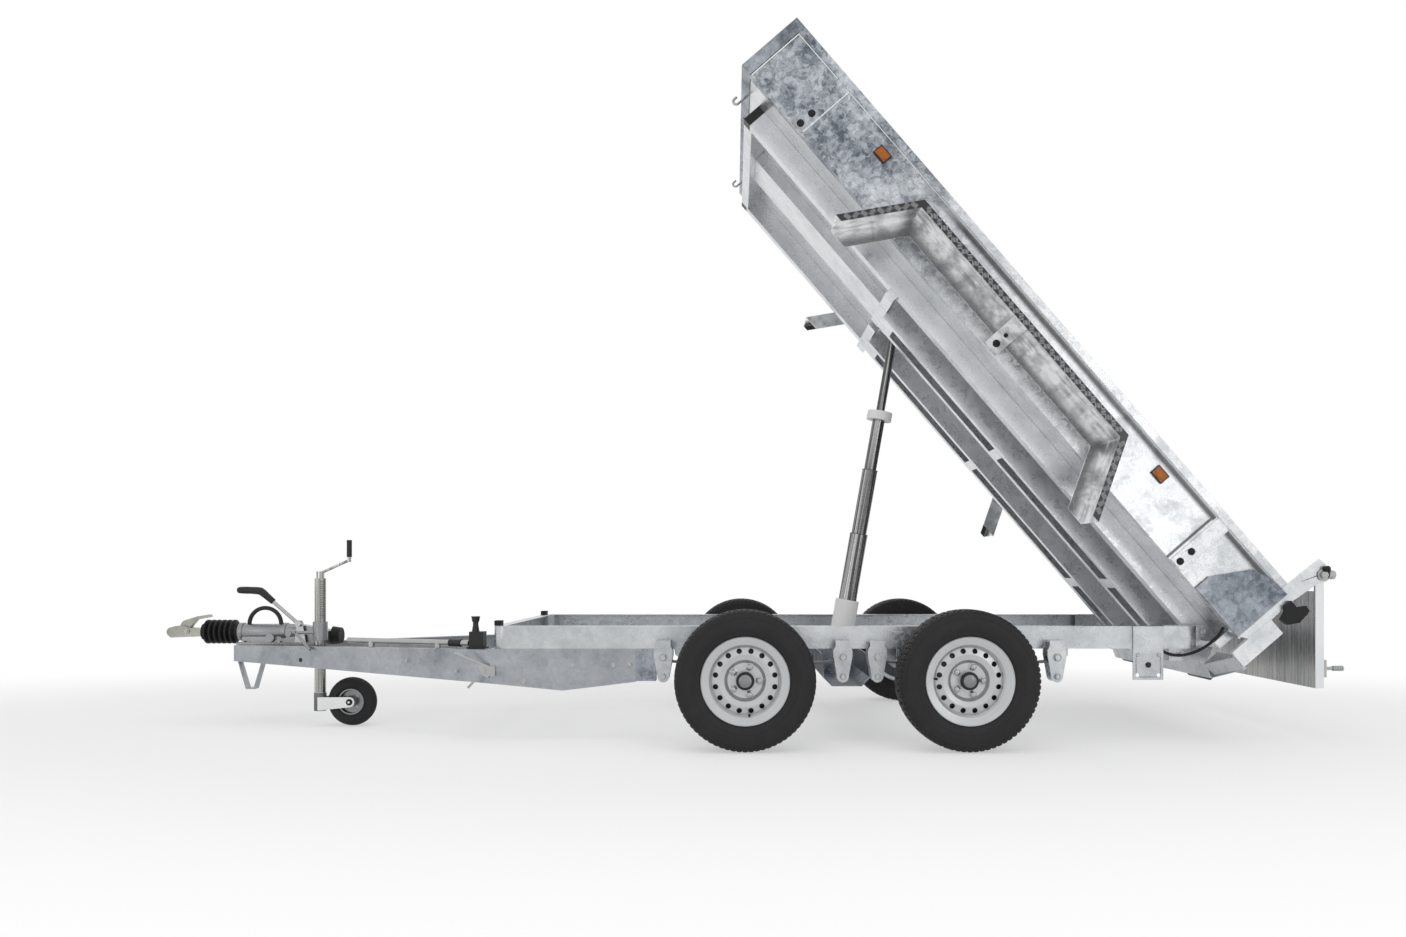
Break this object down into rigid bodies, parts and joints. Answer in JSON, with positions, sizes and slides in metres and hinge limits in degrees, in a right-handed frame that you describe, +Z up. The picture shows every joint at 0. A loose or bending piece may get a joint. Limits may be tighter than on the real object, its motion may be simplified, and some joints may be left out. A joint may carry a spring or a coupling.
{
  "type": "tandem-axle tipping trailer",
  "caption": "Galvanised tandem-axle tipping trailer with raised bed, top-hung tailgate, telescopic tipping cylinder, A-frame drawbar, ball coupling and jockey wheel.",
  "frame": {"origin": "on the ground, at the middle of the bounding box in plan, bed raised", "axes": "+X toward the tailgate, -X toward the coupling, +Z up, +Y the right-hand side seen facing the coupling"},
  "size_m": [5.806, 2.092, 3.3219],
  "materials": {
    "galvanised": "hot-dip galvanised, spangled",
    "dark_galvanised": "hot-dip galvanised, weathered darker",
    "cast": "rough cast",
    "rubber": "matte moulded",
    "zinc": "yellowish zinc plated",
    "bright_steel": "bright zinc plated",
    "spring_steel": "dull spring steel",
    "black_plastic": "moulded",
    "wheel_silver": "silver lacquer",
    "tyre": "matte",
    "tread_plate": "bright tread plate",
    "red_lens": "clear red moulding",
    "amber_lens": "clear amber moulding",
    "barrel_paint": "pale satin",
    "chrome": "ground and polished",
    "white_plastic": "moulded"
  },
  "bodies": {
    "chassis": {"chassis_frame": "galvanised", "cylinder_crossbeam": "dark_galvanised", "drawbar_left": "galvanised", "drawbar_right": "galvanised", "drawbar_ties": "galvanised", "drawbar_spacers": "dark_galvanised", "overrun_housing": "cast", "bellows": "rubber", "coupling_head": "zinc", "handbrake_lever": "bright_steel", "hand_grips": "black_plastic", "jockey_clamp": "cast", "hand_pump": "black_plastic", "pump_lever": "bright_steel", "bed_latches": "bright_steel", "leaf_springs": "spring_steel", "spring_hangers": "galvanised", "axles": "dark_galvanised", "rear_plates": "galvanised", "rail_buffers": "rubber"},
    "jockey_leg": {"jockey_post": "bright_steel", "crank_grip": "black_plastic"},
    "jockey_fork": {"jockey_fork": "bright_steel"},
    "jockey_wheel": {"jockey_rim": "wheel_silver", "jockey_tyre": "tyre"},
    "wheel_fl": {"tyre_fl": "tyre", "rim_fl": "wheel_silver"},
    "wheel_fr": {"tyre_fr": "tyre", "rim_fr": "wheel_silver"},
    "wheel_rl": {"tyre_rl": "tyre", "rim_rl": "wheel_silver"},
    "wheel_rr": {"tyre_rr": "tyre", "rim_rr": "wheel_silver"},
    "bed": {"bed_floor": "galvanised", "bed_side_left": "galvanised", "bed_side_right": "galvanised", "bed_front": "dark_galvanised", "bed_tubes": "galvanised", "bed_plugs": "black_plastic", "bed_beams": "galvanised", "bed_crossmembers": "galvanised", "rear_posts": "dark_galvanised", "fender_left": "tread_plate", "fender_right": "tread_plate", "lamp_board": "galvanised", "tail_lamps": "red_lens", "outline_lamps": "rubber", "side_markers": "amber_lens", "rope_hooks": "bright_steel"},
    "tailgate": {"tailgate": "galvanised", "tailgate_latch": "bright_steel"},
    "cylinder_barrel": {"cylinder_barrel": "barrel_paint"},
    "cylinder_stage_1": {"cylinder_stage_1": "chrome"},
    "cylinder_stage_2": {"cylinder_stage_2": "chrome"},
    "cylinder_stage_3": {"cylinder_stage_3": "chrome", "cylinder_collar": "white_plastic"},
    "cylinder_rod": {"cylinder_rod": "chrome"}
  },
  "joints": [
    {"name": "wheel_fl_spin", "type": "hinge", "parent": "chassis", "child": "wheel_fl", "pos_m": [0.151, -0.939, 0.314], "axis": [0, 1, 0], "continuous": true},
    {"name": "wheel_fr_spin", "type": "hinge", "parent": "chassis", "child": "wheel_fr", "pos_m": [0.151, 0.939, 0.314], "axis": [0, 1, 0], "continuous": true},
    {"name": "wheel_rl_spin", "type": "hinge", "parent": "chassis", "child": "wheel_rl", "pos_m": [1.136, -0.939, 0.314], "axis": [0, 1, 0], "continuous": true},
    {"name": "wheel_rr_spin", "type": "hinge", "parent": "chassis", "child": "wheel_rr", "pos_m": [1.136, 0.939, 0.314], "axis": [0, 1, 0], "continuous": true},
    {"name": "jockey_slide", "type": "slide", "parent": "chassis", "child": "jockey_leg", "axis": [0, 0, -1], "range_m": [-0.15, 0]},
    {"name": "jockey_swivel", "type": "hinge", "parent": "jockey_leg", "child": "jockey_fork", "pos_m": [-2.037, -0.165, 0.12], "axis": [0, 0, 1], "range_deg": [-15, 150]},
    {"name": "jockey_spin", "type": "hinge", "parent": "jockey_fork", "child": "jockey_wheel", "pos_m": [-1.869, -0.165, 0.125], "axis": [0, 1, 0], "continuous": true},
    {"name": "bed_tilt", "type": "hinge", "parent": "chassis", "child": "bed", "pos_m": [2.313, 0, 0.51], "axis": [0, 1, 0], "range_deg": [-49.1, 0]},
    {"name": "tailgate_swing", "type": "hinge", "parent": "bed", "child": "tailgate", "pos_m": [2.7818, 0, 0.77981], "axis": [0, -1, 0], "range_deg": [-49.1, 60]},
    {"name": "cylinder_lean", "type": "hinge", "parent": "chassis", "child": "cylinder_barrel", "pos_m": [0.655, 0, 0.34], "axis": [0, 1, 0], "range_deg": [-77.49, 0]},
    {"name": "stage_1_slide", "type": "slide", "parent": "cylinder_barrel", "child": "cylinder_stage_1", "axis": [0.1719, 0, 0.9851], "range_m": [-0.3501, 0]},
    {"name": "stage_2_slide", "type": "slide", "parent": "cylinder_stage_1", "child": "cylinder_stage_2", "axis": [0.1719, 0, 0.9851], "range_m": [-0.3411, 0]},
    {"name": "stage_3_slide", "type": "slide", "parent": "cylinder_stage_2", "child": "cylinder_stage_3", "axis": [0.1719, 0, 0.9851], "range_m": [-0.2651, 0]},
    {"name": "rod_slide", "type": "slide", "parent": "cylinder_stage_3", "child": "cylinder_rod", "axis": [0.1719, 0, 0.9851], "range_m": [-0.35923, 0]}
  ],
  "couplings": [
    {"joint": "cylinder_lean", "follows": "bed_tilt", "ratio": 1.5779},
    {"joint": "stage_1_slide", "follows": "bed_tilt", "m_per_rad": 0.40842},
    {"joint": "stage_2_slide", "follows": "bed_tilt", "m_per_rad": 0.39792},
    {"joint": "stage_3_slide", "follows": "bed_tilt", "m_per_rad": 0.30923},
    {"joint": "rod_slide", "follows": "bed_tilt", "m_per_rad": 0.41908}
  ]
}
